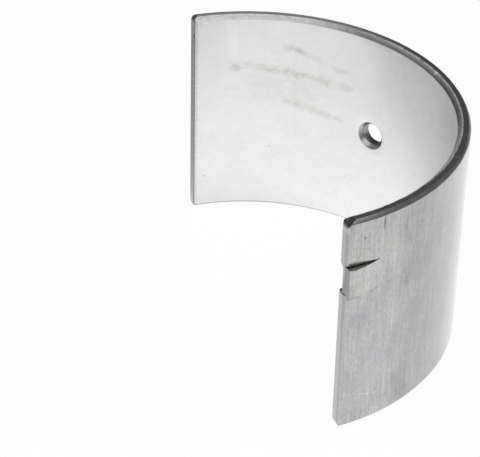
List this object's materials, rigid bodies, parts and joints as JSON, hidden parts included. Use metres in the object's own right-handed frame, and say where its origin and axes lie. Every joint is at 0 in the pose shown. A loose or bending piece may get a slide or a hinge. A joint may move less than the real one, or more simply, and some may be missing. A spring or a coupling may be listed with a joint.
{
  "type": "engine bearing shell",
  "caption": "Thin-wall half bearing shell for a crank journal, with a pressed locating tang at one parting face, an oil hole countersunk on the lining side and chamfered edges.",
  "frame": {"origin": "on the axis of the shell's arc, half way along its length", "axes": "+Z along the bearing axis, +Y towards the crown of the half round, +X towards the parting face with the tang"},
  "size_m": [0.0592, 0.0279, 0.0326],
  "materials": {
    "bearing_metal": "satin"
  },
  "bodies": {
    "root": {"bearing_shell": "bearing_metal"}
  },
  "joints": []
}
